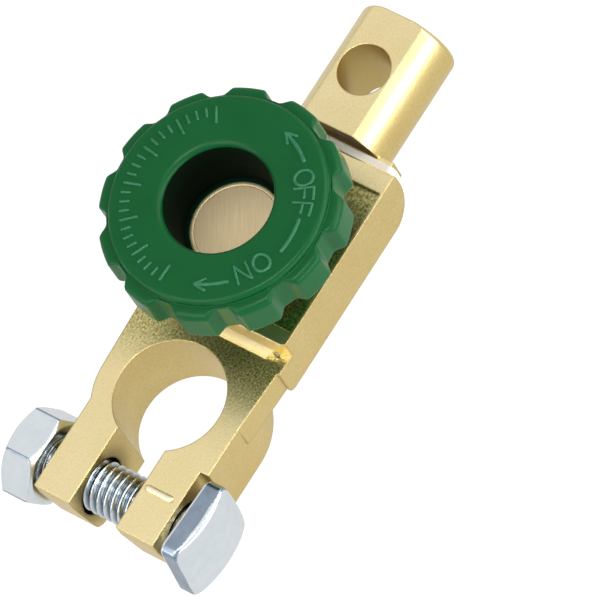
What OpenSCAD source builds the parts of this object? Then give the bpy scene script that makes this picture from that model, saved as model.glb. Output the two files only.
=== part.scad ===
// Battery terminal disconnect switch with a screw-down knob.
// Origin: axis of the battery post bore at the underside of the clamp ring, +Z towards the knob,
// +X towards the cable bar, +Y towards the clamp nut.

/* [Battery post ring] */
// Diameter of the bore that grips the battery post
post_bore_d = 17.1; // [15:0.1:18.5]
// Height of the clamp ring
ring_h = 12.5; // [11:0.1:15]
// Wall of the ring at its underside
ring_wall = 3; // [2:0.1:3.5]
// How much the ring leans outwards from its underside to its top
ring_flare = 0.5; // [0.2:0.05:0.8]
// How far the outside of the ring sits towards the bolt head
ring_shift = 0.2; // [0:0.05:0.4]
// Width of the block between ring and housing
block_w = 24.9; // [24:0.1:25.6]
// Depth of that block below the top of the ring
shoulder_drop = 5.1; // [3:0.1:6]

/* [Clamp ears] */
// Gap between the two ears
jaw_gap = 8.4; // [6:0.1:9.5]
// Thickness of the ear at the bolt head
ear_t = 6.6; // [5:0.1:7.2]
// Thickness of the ear at the nut
nut_ear_t = 6.3; // [5:0.1:7.2]
// Distance from the post axis to the clamp bolt axis
bolt_x = 15; // [14.6:0.1:18]
// Height of the clamp bolt axis above the middle of the ears
bolt_rise = 0.55; // [0:0.05:0.8]
// Ear metal beyond the bolt axis
ear_end = 5.6; // [5:0.1:8]
// How far the lower end of an ear is drawn in
ear_draft = 1; // [0:0.1:2.5]

/* [Housing] */
// Width over the straight sides
body_w = 26; // [25:0.1:32]
// Height of the housing top above the clamp ring
housing_rise = 3.4; // [3:0.1:5]
// Height of the side walls
side_h = 9.7; // [9:0.1:11]
// Thickness of the side walls
side_wall = 1.6; // [1:0.1:2.2]
// Thickness of the roof at its thick ends
roof_t = 1.9; // [1.6:0.1:2.6]
// Depth of the contact recess in the roof
recess_depth = 0.7; // [0.3:0.1:0.9]
// Distance from the post axis to the knob axis
knob_x = 23.8; // [23:0.1:30]
// Distance from the knob axis to the cable end of the housing
end_reach = 18.9; // [17.5:0.1:26]
// Distance from the knob axis to the ring end of the underside channel
channel_reach = 11.7; // [10.5:0.1:12.5]
// Room round the contact flange at the ring end of the recess
recess_gap = 0.3; // [0.2:0.1:1]
// Metal between the contact recess and the cable end
end_land = 3.4; // [2:0.1:5]
// Reach along the side wall of the swept lower corner at the cable end
end_low_reach = 4.6; // [1:0.1:6]
// Height of that swept corner
end_low_rise = 7; // [1:0.1:8]
// Radius of the upper corner at the cable end
end_top_r = 0.6; // [0.3:0.1:1.5]
// Width of the rim left beside the contact recess
rim_top = 0.45; // [0.3:0.05:1.2]

/* [Insulator tray] */
// Wall of the moulded tray
tray_t = 1.3; // [0.8:0.1:1.8]
// Fitting gap between tray and metal
tray_gap = 0.1; // [0.05:0.05:0.2]
// How far the tray stands out at the cable end
tray_out = 1.6; // [1:0.1:3]
// Wall of the collar round the stud
collar_t = 1.4; // [0.8:0.1:2]
// Radial clearance between the stud and the collar
stud_clear = 0.3; // [0.2:0.05:0.6]

/* [Cable post] */
// Diameter of the cable bar
bar_d = 15.4; // [14:0.1:18]
// Length of the cable bar beyond its shoulder
bar_len = 19.5; // [16:0.1:30]
// Depth of the bar axis below the top of the plate
bar_drop = 1.9; // [1:0.1:2.3]
// Height of the flat above the bar axis
bar_flat = 6.3; // [5.5:0.1:7]
// Diameter of the cable hole
cable_hole_d = 8.1; // [5:0.1:9]
// Distance from the shoulder to the cable hole
cable_hole_x = 9.8; // [8:0.1:12]
// Rounding of the bar end
bar_end_r = 1; // [0.3:0.1:2]
// Thickness of the plate inside the tray
plate_t = 4.3; // [3:0.1:4.6]
// Diameter of the threaded boss
boss_d = 16.4; // [13:0.1:18]
// Height of the boss under the plate
boss_h = 2.6; // [1.5:0.1:2.8]
// Length of the notches behind the boss
notch_len = 3.4; // [2:0.1:5]
// Depth of each notch
notch_depth = 2.4; // [1:0.1:3]

/* [Contact stud] */
// Thread diameter of the stud
stud_d = 8; // [6:0.1:8.5]
// How far the domed tip stands out of the boss
tip_out = 2.2; // [1:0.1:3]
// Diameter of the contact flange
flange_d = 16.2; // [15:0.1:17]
// Thickness of the contact flange
flange_t = 1.6; // [1:0.1:3]
// Diameter of the brushed head in the knob well
head_d = 14; // [12:0.1:14.8]
// Thickness of the head
head_t = 1.6; // [1:0.1:3]
// Length of the knurled neck between flange and head
neck_len = 3.8; // [2:0.1:6]
// Diameter of the neck
neck_d = 10.4; // [9:0.1:12]
// Thickness of the contact washer
washer_t = 1.2; // [0.8:0.1:2]
// Fit of a thread or shaft in its hole, on the radius
thread_fit = 0.05; // [0.02:0.01:0.1]

/* [Knob] */
// Diameter over the lobes
knob_d = 36.4; // [34:0.1:42]
// Height of the gripping rim
rim_h = 6.5; // [5:0.1:9]
// Number of lobes
lobes = 12; // [8:1:16]
// Depth of the valleys between the lobes
lobe_depth = 1.5; // [0.5:0.1:2]
// Diameter of the raised face
face_d = 32.6; // [28:0.1:33]
// Height of the raised face above the lobes
face_h = 1.1; // [0.6:0.1:2]
// Diameter of the well at the top
well_d = 16.4; // [15.8:0.1:18]
// Depth of the well down to the brushed head
well_depth = 9.5; // [6:0.1:12]
// Diameter of the hub
hub_d = 20.8; // [20:0.1:22]
// Thickness of the rim at its lower edge
rim_wall = 2.7; // [2.2:0.1:3.5]
// Thickness of the top between hub and rim
face_t = 3; // [2:0.1:4]
// Angle of the first lobe
lobe_turn = 20; // [0:1:30]

/* [Clamp bolt and nut] */
// Bolt thread diameter
bolt_d = 8; // [6:0.1:8.5]
// Bolt length under the head
bolt_len = 30; // [29.5:0.5:42]
// Width of the square head and the nut over flats
flats = 13; // [12:0.1:13.4]
// Height of the square sides of the head
head_side = 2.7; // [2:0.1:6]
// Height of the dome on the head
head_dome = 2.2; // [1:0.1:3]
// Gap between the head and its ear, as the loose clamp is shown
head_gap = 1.6; // [1.3:0.1:2]
// Thickness of the nut
nut_t = 5.7; // [5:0.1:8]
// Gap between the nut and its ear
nut_gap = 1.45; // [0.2:0.05:2]
// Clearance of the bolt in the ear holes, on the radius
hole_clear = 0.5; // [0.2:0.05:0.6]
// Clearance between the square head and the ledge that stops it turning
ledge_gap = 0.6; // [0.5:0.05:0.8]
// Angle by which the loose head has turned, until its corner meets the ledge
head_turn = 5; // [0:1:6]
// Angle at which the nut has come to rest
nut_turn = 7; // [0:1:59]

/* [Hidden] */
$fn = 72;
eps = 0.5;

bore_r = post_bore_d / 2;
ring_r = bore_r + ring_wall;
ring_top_r = ring_r + ring_flare;
half_w = body_w / 2;
half_gap = jaw_gap / 2;
ear_y = half_gap + ear_t;
nut_ear_y = half_gap + nut_ear_t;
ear_x = bolt_x + ear_end;
ear_low_r = 2;
ear_bend_z = ring_h * 0.8;
ear_low_angle = 185;
ledge_x = bolt_x - flats / 2 - ledge_gap;
bolt_z = ring_h / 2 + bolt_rise;
shoulder_z = ring_h - shoulder_drop;
bolt_hole_r = bolt_d / 2 + hole_clear;

top_z = ring_h + housing_rise;
wall_z = top_z - side_h;
end_x = knob_x + end_reach;
channel_x = knob_x - channel_reach;
channel_y = half_w - side_wall;
roof_z = top_z - roof_t;
recess_z = top_z - recess_depth;
recess_x1 = end_x - end_land;
front_wall = 2.3;
front_low_r = 1.2;
front_x = channel_x - front_wall;
slope_step = 1;
slope_x = channel_x - slope_step;
slope_run = 1.9;
recess_x0 = knob_x - flange_d / 2 - recess_gap;
bevel_angle = 56;
bevel_reach = 2.9;
bevel_x = slope_x + 0.3;

tray_x0 = channel_x + tray_gap;
tray_x1 = end_x + tray_out;
tray_y = channel_y - tray_gap;
tray_top = roof_z - tray_gap;
tray_floor = tray_top - tray_t;
tray_corner_r = 1.2;
tray_edge_gap = 0.2;
tray_edge_z = wall_z + tray_edge_gap;
tray_heel = 0.4;
tray_side_x = end_x - 3.4;
tray_lip_h = 1.5;
tray_lip_z = tray_floor - tray_lip_h;
collar_in_r = stud_d / 2 + stud_clear;
collar_out_r = collar_in_r + collar_t;
collar_hole_r = collar_out_r + tray_gap;
collar_drop = 0.4;
collar_z = recess_z - collar_drop;

plate_top = tray_floor - tray_gap;
bar_z = plate_top - bar_drop;
plate_z = plate_top - plate_t;
plate_x0 = tray_x0 + tray_t + tray_gap;
plate_y = tray_y - tray_t - tray_gap;
boss_z = plate_z - boss_h;
boss_draft = 0.3;
notch_lap = 2;
notch_x = knob_x + boss_d / 2 - notch_lap;
bar_gap = 0.5;
bar_x = tray_x1 + bar_gap;
bar_end_x = bar_x + bar_len;
bar_r = bar_d / 2;
root_in = 5.5;
root_x = bar_x - root_in;
root_step = 4.2;
root_r = bar_r - root_step;
root_len = 3.6;

washer_z = recess_z;
flange_z = washer_z + washer_t;
neck_z = flange_z + flange_t;
head_z = neck_z + neck_len;
head_top = head_z + head_t;
stud_r = stud_d / 2;
stud_edge = 0.3;
washer_in_r = stud_r + thread_fit;

knob_top = head_top + well_depth;
lobe_top = knob_top - face_h;
rim_z = lobe_top - rim_h;
knob_r = knob_d / 2;
well_r = well_d / 2;
hub_r = hub_d / 2;
rim_in_r = knob_r - rim_wall;
hollow_z = knob_top - face_t;
hollow_r = 1.2;
hollow_cut = 8;
lobe_edge_r = 0.9;
lobe_top_edge_r = 1.35;
face_edge_r = 0.8;
face_root = 1;
well_lip_r = 1.1;
well_draft = 0.6;
moulded_fit = 0.02;

head_y = -ear_y - head_gap;
bolt_end_y = head_y + bolt_len;
bolt_r = bolt_d / 2;
bolt_bevel = 0.8;
head_corner_r = flats * 0.68;
nut_y = nut_ear_y + nut_gap;
nut_bevel = 0.9;

brass = "#c9a85a";
brushed = "#cdb07c";
zinc = "#c4cbd2";
nylon = "#ecebe6";
green = "#176b3a";

// Points of an arc about (x, y) from angle a0 to a1
function arc(x, y, r, a0, a1, n = 8) =
    [for (i = [0:n]) let (a = a0 + (a1 - a0) * i / n) [x + r * cos(a), y + r * sin(a)]];

function ease(t) = let (c = min(1, max(0, t))) c * c * (3 - 2 * c);

// Radius of the lobed rim at angle a: flat-topped lobes with soft valleys
function lobe_r(a) =
    let (t = (1 - cos(lobes * (a - lobe_turn))) / 2)
    knob_r - lobe_depth * ease((t - 0.5) / 0.45);

// Extrudes an X-Z profile along Y between y0 and y1
module along_y(y0, y1) {
    translate([0, y1, 0])
        rotate([90, 0, 0])
            linear_extrude(height = y1 - y0)
                children();
}

// Extrudes a Y-Z profile along X between x0 and x1
module along_x(x0, x1) {
    translate([x0, 0, 0])
        rotate([90, 0, 90])
            linear_extrude(height = x1 - x0)
                children();
}

// Side view of the ears: square top corner, lower end drawn in and rounded
module ear_side() {
    polygon(concat(
        [[0, 0], [0, ring_h], [-ear_x, ring_h], [-ear_x, ear_bend_z]],
        arc(-ear_x + ear_draft + ear_low_r, ear_low_r, ear_low_r, ear_low_angle, 270)));
}

// Side view of the housing: sloped ring end, rounded cable end
module housing_side() {
    polygon(concat(
        [[front_x, ring_h], [slope_x, ring_h], [slope_x + slope_run, top_z]],
        arc(end_x - end_top_r, top_z - end_top_r, end_top_r, 90, 0),
        [for (i = [0:10]) let (a = -9 * i)
            [end_x - end_low_reach * (1 - cos(a)), wall_z + end_low_rise * (1 + sin(a))]],
        arc(front_x + front_low_r, wall_z + front_low_r, front_low_r, -90, -180, 4)));
}

// Drafted ring, with a flat flank at the bolt head whose end is the ledge that stops the head turning
module ring_solid() {
    cylinder(h = ring_h, r1 = ring_r, r2 = ring_top_r);
    along_x(-ledge_x, 0)
        polygon([[0, 0], [0, ring_h], [-ring_top_r, ring_h], [-ring_r, 0]]);
}

// Block that widens from the ring to the housing
module shoulder_block() {
    half = block_w / 2;
    translate([0, 0, shoulder_z])
        linear_extrude(height = shoulder_drop)
            polygon([[0, ring_top_r], [front_x, half], [slope_x + eps, half],
                [slope_x + eps, -half], [front_x, -half], [0, -ring_top_r]]);
}

// Bevels that take the upper corners off the ring end of the housing
module front_corner_cuts() {
    for (s = [-1, 1])
        translate([bevel_x, s * (half_w - bevel_reach), ring_h])
            rotate([0, 0, s * bevel_angle])
                translate([-half_w, s > 0 ? 0 : -half_w, 0])
                    cube([2 * half_w, half_w, top_z]);
}

module housing_solid() {
    difference() {
        along_y(-half_w, half_w)
            housing_side();
        front_corner_cuts();
    }
}

module clamp_body() {
    color(brass)
        difference() {
            union() {
                translate([0, -ring_shift, 0]) {
                    ring_solid();
                    shoulder_block();
                }
                along_y(-ear_y, nut_ear_y)
                    ear_side();
                housing_solid();
            }
            translate([0, 0, -eps])
                cylinder(h = top_z + 2 * eps, r = bore_r);
            translate([-ear_x - eps, -half_gap, -eps])
                cube([ear_x + eps, jaw_gap, ring_h + 2 * eps]);
            translate([-bolt_x, ear_y + eps, bolt_z])
                rotate([90, 0, 0])
                    cylinder(h = 2 * ear_y + 2 * eps, r = bolt_hole_r);
            translate([channel_x, -channel_y, -eps])
                cube([end_x, 2 * channel_y, roof_z + eps]);
            translate([recess_x0, -half_w + rim_top, recess_z])
                cube([recess_x1 - recess_x0, body_w - 2 * rim_top, recess_depth + eps]);
            translate([knob_x, 0, roof_z - eps])
                cylinder(h = roof_t + 2 * eps, r = collar_hole_r);
        }
}

// Section of the tray across X: floor on top, two side walls, rounded upper corners
module tray_section() {
    r = tray_corner_r;
    difference() {
        polygon(concat(
            [[-tray_y, tray_edge_z]],
            arc(-tray_y + r, tray_top - r, r, 180, 90, 5),
            arc(tray_y - r, tray_top - r, r, 90, 0, 5),
            [[tray_y, tray_edge_z]]));
        translate([-tray_y + tray_t, 0])
            square([2 * (tray_y - tray_t), tray_floor]);
    }
}

module insulator_tray() {
    color(nylon)
        difference() {
            union() {
                intersection() {
                    along_x(tray_x0, tray_x1)
                        tray_section();
                    along_y(-tray_y - eps, tray_y + eps)
                        polygon([[tray_x0, 0], [tray_side_x, 0], [tray_side_x, tray_edge_z + tray_heel],
                            [tray_x1, tray_lip_z], [tray_x1, top_z], [tray_x0, top_z]]);
                }
                translate([tray_x0, -tray_y, tray_edge_z])
                    cube([tray_t, 2 * tray_y, tray_floor - tray_edge_z + tray_gap]);
                translate([knob_x, 0, tray_floor])
                    cylinder(h = collar_z - tray_floor, r = collar_out_r);
            }
            translate([knob_x, 0, tray_floor - eps])
                cylinder(h = collar_z - tray_floor + 2 * eps, r = collar_in_r);
        }
}

// Plan of the plate: square end, notches behind the boss, narrower root at the bar
module plate_plan() {
    difference() {
        translate([plate_x0, -plate_y])
            square([bar_x - plate_x0 + eps, 2 * plate_y]);
        for (s = [-1, 1])
            translate([notch_x, s * plate_y - notch_depth])
                square([notch_len, 2 * notch_depth]);
    }
}

// Profile of the bar about its own axis, with a swept root that runs into the plate
module bar_profile() {
    len = bar_end_x - root_x;
    polygon(concat(
        [[0, 0], [root_r, 0]],
        [for (i = [1:8]) let (t = i / 8) [root_r + (bar_r - root_r) * ease(t), root_len * t]],
        arc(bar_r - bar_end_r, len - bar_end_r, bar_end_r, 0, 90, 6),
        [[0, len]]));
}

module bar_solid() {
    difference() {
        translate([root_x, 0, bar_z])
            rotate([0, 90, 0])
                rotate_extrude()
                    bar_profile();
        translate([root_x - eps, -bar_r - eps, bar_z + bar_flat])
            cube([bar_end_x, bar_d + 2 * eps, bar_r]);
        translate([root_x - eps, -bar_r - eps, plate_top])
            cube([bar_x - root_x + eps, bar_d + 2 * eps, bar_r]);
    }
}

module cable_post() {
    color(brass)
        difference() {
            union() {
                translate([0, 0, plate_z])
                    linear_extrude(height = plate_t)
                        plate_plan();
                translate([knob_x, 0, boss_z])
                    cylinder(h = boss_h + eps, r1 = boss_d / 2 - boss_draft, r2 = boss_d / 2 + boss_draft);
                bar_solid();
            }
            translate([knob_x, 0, boss_z - eps])
                cylinder(h = plate_top - boss_z + 2 * eps, r = stud_r + thread_fit);
            translate([bar_x + cable_hole_x, 0, bar_z - bar_r - eps])
                cylinder(h = bar_d + 2 * eps, r = cable_hole_d / 2);
        }
}

module contact_washer() {
    color(brass)
        translate([knob_x, 0, washer_z])
            difference() {
                cylinder(h = washer_t, r = flange_d / 2);
                translate([0, 0, -eps])
                    cylinder(h = washer_t + 2 * eps, r = washer_in_r);
            }
}

// Profile of the stud: domed tip, threaded shank, flange, neck and head
module stud_profile() {
    tip_z = boss_z - tip_out;
    polygon(concat(
        [[0, tip_z]],
        [for (i = [1:8]) let (a = 90 * i / 8) [stud_r * sin(a), tip_z + tip_out * (1 - cos(a))]],
        [[stud_r, flange_z], [flange_d / 2, flange_z], [flange_d / 2, neck_z], [neck_d / 2, neck_z],
        [neck_d / 2, head_z], [head_d / 2, head_z], [head_d / 2, head_top - stud_edge],
        [head_d / 2 - stud_edge, head_top], [0, head_top]]));
}

module contact_stud() {
    color(brushed)
        translate([knob_x, 0, 0])
            rotate_extrude()
                stud_profile();
}

// Plan of the lobed rim
module lobe_plan() {
    n = lobes * 16;
    polygon([for (i = [0:n - 1]) let (a = 360 * i / n) [lobe_r(a) * cos(a), lobe_r(a) * sin(a)]]);
}

// Half section of the rim with rounded edges
module rim_profile() {
    r = lobe_edge_r;
    top_r = lobe_top_edge_r;
    polygon(concat(
        [[0, rim_z]],
        arc(knob_r - r, rim_z + r, r, -90, 0, 5),
        arc(knob_r - top_r, lobe_top - top_r, top_r, 0, 90, 6),
        [[0, lobe_top]]));
}

// Half section of the raised face and the hub under it
module face_profile() {
    r = face_edge_r;
    polygon(concat(
        [[0, neck_z], [hub_r, neck_z], [hub_r, rim_z], [face_d / 2, lobe_top - face_root]],
        arc(face_d / 2 - r, knob_top - r, r, 0, 90, 6),
        [[0, knob_top]]));
}

// Half section of the hollow between hub and rim
module hollow_profile() {
    r = hollow_r;
    polygon(concat(
        [[hub_r, rim_z - hollow_cut]],
        [[rim_in_r, rim_z - hollow_cut]],
        arc(rim_in_r - r, hollow_z - r, r, 0, 90, 5),
        arc(hub_r + r, hollow_z - r, r, 90, 180, 5)));
}

// Half section of the well with a rounded lip, and of the pocket moulded round the stud
module well_profile() {
    lip = well_lip_r;
    polygon(concat(
        [[0, head_z], [head_d / 2 + moulded_fit, head_z], [head_d / 2 + moulded_fit, head_top]],
        [[well_r - well_draft, head_top]],
        [[well_r, knob_top - lip]],
        arc(well_r + lip, knob_top - lip, lip, 180, 90, 6),
        [[well_r + lip, knob_top + eps], [0, knob_top + eps]]));
    translate([0, neck_z - eps])
        square([neck_d / 2 + moulded_fit, head_z - neck_z + 2 * eps]);
}

module knob() {
    color(green)
        translate([knob_x, 0, 0])
            difference() {
                union() {
                    intersection() {
                        translate([0, 0, rim_z])
                            linear_extrude(height = rim_h)
                                lobe_plan();
                        rotate_extrude()
                            rim_profile();
                    }
                    rotate_extrude()
                        face_profile();
                }
                rotate_extrude()
                    hollow_profile();
                rotate_extrude()
                    well_profile();
            }
}

// Square head with clipped corners and a rounded crown, drawn about the bolt axis
module square_head() {
    height = head_side + head_dome;
    ball = (head_corner_r * head_corner_r + head_dome * head_dome) / (2 * head_dome);
    intersection() {
        translate([-flats / 2, -flats / 2, 0])
            cube([flats, flats, height]);
        cylinder(h = height, r = head_corner_r);
        translate([0, 0, height - ball])
            sphere(r = ball, $fn = 96);
    }
}

module clamp_bolt() {
    color(zinc)
        translate([-bolt_x, head_y, bolt_z]) {
            rotate([90, 0, 0])
                rotate([0, 0, -head_turn])
                    square_head();
            rotate([-90, 0, 0]) {
                translate([0, 0, -eps])
                    cylinder(h = bolt_len - bolt_bevel + eps, r = bolt_r);
                translate([0, 0, bolt_len - bolt_bevel])
                    cylinder(h = bolt_bevel, r1 = bolt_r, r2 = bolt_r - bolt_bevel);
            }
        }
}

// Hexagon with both faces chamfered, drawn about the bolt axis
module nut_blank() {
    corner = flats / sqrt(3);
    flat_r = corner - nut_bevel;
    drop = nut_bevel * tan(30);
    intersection() {
        cylinder(h = nut_t, r = corner, $fn = 6);
        rotate_extrude()
            polygon([[0, 0], [flat_r, 0], [corner, drop], [corner, nut_t - drop],
                [flat_r, nut_t], [0, nut_t]]);
    }
}

module clamp_nut() {
    color(zinc)
        translate([-bolt_x, nut_y, bolt_z])
            rotate([-90, 0, 0])
                rotate([0, 0, nut_turn])
                    difference() {
                        nut_blank();
                        translate([0, 0, -eps])
                            cylinder(h = nut_t + 2 * eps, r = bolt_r + thread_fit);
                    }
}

clamp_body();
insulator_tray();
cable_post();
contact_washer();
contact_stud();
knob();
clamp_bolt();
clamp_nut();
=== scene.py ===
# %% [markdown]
# # Battery terminal disconnect switch
#
# A brass clamp sits on a car battery's post. A green knob screws a brass stud down on the clamp's roof to
# close the circuit, and lifts it to open the circuit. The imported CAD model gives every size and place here.
# This script gives each piece its finish, and makes the pieces whose threads, soft corners and raised signs
# the CAD model leaves out.

import bpy
import bmesh
import numpy as np
from mathutils import Matrix, Vector


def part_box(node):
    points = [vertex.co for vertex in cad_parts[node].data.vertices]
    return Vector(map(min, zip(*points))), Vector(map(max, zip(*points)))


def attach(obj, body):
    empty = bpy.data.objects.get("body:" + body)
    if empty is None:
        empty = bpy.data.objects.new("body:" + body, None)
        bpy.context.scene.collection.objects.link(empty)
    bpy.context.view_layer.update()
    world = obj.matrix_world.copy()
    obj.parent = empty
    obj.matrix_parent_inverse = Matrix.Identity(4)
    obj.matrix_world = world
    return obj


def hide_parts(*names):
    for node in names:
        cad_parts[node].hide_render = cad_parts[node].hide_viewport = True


MM = 0.001

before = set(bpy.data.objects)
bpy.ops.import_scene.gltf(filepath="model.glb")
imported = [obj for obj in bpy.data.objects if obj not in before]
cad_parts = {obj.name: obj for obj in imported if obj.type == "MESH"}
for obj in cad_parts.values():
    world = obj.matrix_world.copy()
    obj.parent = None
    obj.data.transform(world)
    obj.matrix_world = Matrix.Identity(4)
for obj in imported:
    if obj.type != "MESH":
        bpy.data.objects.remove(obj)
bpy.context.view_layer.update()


def span(node):
    """Lowest and highest corner of a CAD node in millimetres, as two arrays."""
    low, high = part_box(node)
    return np.array(low) / MM, np.array(high) / MM


# %% [markdown]
# ## Camera
#
# The product was photographed from above its ring end with a long lens, turned so that it runs from the lower
# left to the upper right. A camera is placed by the point it looks at, the direction it looks from, how far it
# stands and how much it is rolled. Angles like these say more to a reader than a matrix would.

# %% Camera
AIM = Vector((20.15, -11.08, 16.0)) * MM
LOOK_FROM_AZIMUTH = -25.77
LOOK_FROM_ELEVATION = 59.95
CAMERA_DISTANCE = 1.1602
CAMERA_ROLL = 34.45
CAMERA_LENS = 491.1


def direction(azimuth, elevation):
    """Unit vector towards a viewer: azimuth 0 stands on the -Y side, 90 on the +X side, in degrees."""
    a, e = np.radians([azimuth, elevation])
    return Vector((np.sin(a) * np.cos(e), -np.cos(a) * np.cos(e), np.sin(e)))


scene = bpy.context.scene
camera = bpy.data.objects.new("camera", bpy.data.cameras.new("camera"))
scene.collection.objects.link(camera)
back = direction(LOOK_FROM_AZIMUTH, LOOK_FROM_ELEVATION)
turned = back.to_track_quat("Z", "Y").to_matrix() @ Matrix.Rotation(-np.radians(CAMERA_ROLL), 3, "Z")
camera.matrix_world = Matrix.Translation(AIM + back * CAMERA_DISTANCE) @ turned.to_4x4()
camera.data.lens = CAMERA_LENS
camera.data.clip_start = 0.05
camera.data.clip_end = 20
scene.camera = camera
print("camera at", [round(v, 3) for v in camera.location])

# %% [markdown]
# ## Colours and nodes
#
# Colours are written as the hex values a picture editor shows. Blender's shaders want linear light, so one
# function converts them. Another small function adds a shader node with its settings and its links, which
# keeps each material below short enough to read in one go.


# %% Colour and node helpers
def linear(hex_colour, alpha=1.0):
    """sRGB hex to linear RGBA: c/12.92 below 0.04045, otherwise ((c + 0.055) / 1.055) ** 2.4."""
    c = np.array([int(hex_colour[i:i + 2], 16) for i in (1, 3, 5)]) / 255
    rgb = np.where(c <= 0.04045, c / 12.92, ((c + 0.055) / 1.055) ** 2.4)
    return (*rgb.tolist(), alpha)


def node(tree, kind, settings=None, **inputs):
    """Adds a node. settings are its own options; inputs are socket values, or sockets to link from."""
    made = tree.nodes.new(kind)
    for key, value in (settings or {}).items():
        setattr(made, key, value)
    for key, value in inputs.items():
        numbered = key[0] == "i" and key[1:].isdigit()
        socket = made.inputs[int(key[1:])] if numbered else made.inputs[key.replace("_", " ")]
        if isinstance(value, bpy.types.NodeSocket):
            tree.links.new(value, socket)
        else:
            socket.default_value = value
    return made


def new_material(name, **shader):
    """A material with one Principled shader. shader holds values for its sockets."""
    material = bpy.data.materials.new(name)
    material.use_nodes = True
    principled = material.node_tree.nodes["Principled BSDF"]
    for key, value in shader.items():
        principled.inputs[key.replace("_", " ")].default_value = value
    return material, material.node_tree, principled


def edge_mask(tree, radius, strength):
    """Strength within about radius (millimetres) of an edge and 0 elsewhere: there the normal of a rounded
    copy of the shape, from the Bevel node, turns away from the face's own normal. Gives both outputs."""
    bevel = node(tree, "ShaderNodeBevel", {"samples": 6}, Radius=radius * MM)
    own = node(tree, "ShaderNodeNewGeometry").outputs["Normal"]
    match = node(tree, "ShaderNodeVectorMath", {"operation": "DOT_PRODUCT"}, i0=bevel.outputs[0], i1=own)
    mask = node(tree, "ShaderNodeMapRange", Value=match.outputs["Value"], From_Min=0.995, From_Max=0.9,
                To_Min=0.0, To_Max=strength)
    return mask.outputs[0], bevel.outputs[0]


# %% [markdown]
# ## Light, floor and background
#
# The product is photographed on white with large soft lights. A metal shows what it reflects, so the world is
# a white room for reflections. A dark band stands along its horizon, as the unlit side of a studio does: no
# large face mirrors it, but each rounded edge does, and gets its thin dark line. The room lights the plastic
# less strongly than it is seen, and one lamp stands high, so that it reaches the bottom of the knob's well.

# %% World and lamps
scene.view_settings.view_transform = "Standard"
ROOM_LIGHT = 0.35
BAND_COLOUR = "#2f3133"
BAND_FROM = np.sin(np.radians(-14))
BAND_FULL = np.sin(np.radians(-2))
BAND_TO = np.sin(np.radians(12))
world = bpy.data.worlds.new("studio")
scene.world = world
world.use_nodes = True
tree = world.node_tree
way = node(tree, "ShaderNodeTexCoord")
height = node(tree, "ShaderNodeSeparateXYZ", Vector=way.outputs["Generated"]).outputs["Z"]
over = node(tree, "ShaderNodeMapRange", {"interpolation_type": "SMOOTHSTEP"}, Value=height, From_Min=BAND_FULL,
            From_Max=BAND_TO)
under = node(tree, "ShaderNodeMapRange", {"interpolation_type": "SMOOTHSTEP"}, Value=height, From_Min=BAND_FULL,
             From_Max=BAND_FROM)
clear = node(tree, "ShaderNodeMath", {"operation": "ADD"}, i0=over.outputs[0], i1=under.outputs[0])
tint = node(tree, "ShaderNodeMix", {"data_type": "RGBA"}, i0=clear.outputs[0], i6=linear(BAND_COLOUR),
            i7=(1, 1, 1, 1))
sky = tree.nodes["Background"]
sky.inputs["Color"].default_value = (1, 1, 1, 1)
sky.inputs["Strength"].default_value = ROOM_LIGHT
paths = node(tree, "ShaderNodeLightPath")
mirrored = node(tree, "ShaderNodeBackground", Color=tint.outputs[2], Strength=0.9)
seen = node(tree, "ShaderNodeBackground", Color=(1, 1, 1, 1), Strength=1.0)
mix = node(tree, "ShaderNodeMixShader", i0=paths.outputs["Is Glossy Ray"], i1=sky.outputs[0],
           i2=mirrored.outputs[0])
mix = node(tree, "ShaderNodeMixShader", i0=paths.outputs["Is Camera Ray"], i1=mix.outputs[0], i2=seen.outputs[0])
tree.links.new(mix.outputs[0], tree.nodes["World Output"].inputs[0])


def softbox(name, azimuth, elevation, distance, size, power, toward=AIM):
    """An area lamp that faces the object from the given direction."""
    lamp = bpy.data.lights.new(name, "AREA")
    lamp.shape = "RECTANGLE"
    lamp.size, lamp.size_y = size
    lamp.energy = power
    holder = bpy.data.objects.new(name, lamp)
    holder.matrix_world = Matrix.Translation(toward + direction(azimuth, elevation) * distance) @ \
        direction(azimuth, elevation).to_track_quat("Z", "Y").to_matrix().to_4x4()
    scene.collection.objects.link(holder)
    return holder


softbox("key_left", -100, 50, 0.6, (0.35, 0.35), 1.3)
softbox("low_left", -117, 14, 0.6, (0.3, 0.2), 0.5)
softbox("fill_right", 60, 35, 0.6, (0.45, 0.45), 1.3)
softbox("low_front", 15, 12, 0.6, (0.8, 0.15), 2.4)
softbox("into_the_well", -25, 82, 0.6, (0.2, 0.2), 1.2)

# %% Floor
FLOOR_SIDE = 3.0
FLOOR_GAP = 0.3
floor_z = (min(span(n)[0][2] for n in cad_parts) - FLOOR_GAP) * MM
floor_mesh = bpy.data.meshes.new("floor")
floor_corners = [(-FLOOR_SIDE, -FLOOR_SIDE, floor_z), (FLOOR_SIDE, -FLOOR_SIDE, floor_z),
                 (FLOOR_SIDE, FLOOR_SIDE, floor_z), (-FLOOR_SIDE, FLOOR_SIDE, floor_z)]
floor_mesh.from_pydata(floor_corners, [], [(0, 1, 2, 3)])
floor = bpy.data.objects.new("floor", floor_mesh)
scene.collection.objects.link(floor)
floor_paper, tree, principled = new_material("floor_paper", Base_Color=linear("#e4e4e4"), Roughness=0.9,
                                             Emission_Color=(1, 1, 1, 1), Emission_Strength=1.1)
paths = node(tree, "ShaderNodeLightPath")
glow = node(tree, "ShaderNodeEmission", Color=(1, 1, 1, 1), Strength=0.86)
shown = node(tree, "ShaderNodeMixShader", i0=0.75, i1=principled.outputs[0], i2=glow.outputs[0])
sheen = node(tree, "ShaderNodeEmission", Color=(1, 1, 1, 1), Strength=0.44)
mirrored = node(tree, "ShaderNodeMixShader", i0=0.75, i1=principled.outputs[0], i2=sheen.outputs[0])
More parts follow.
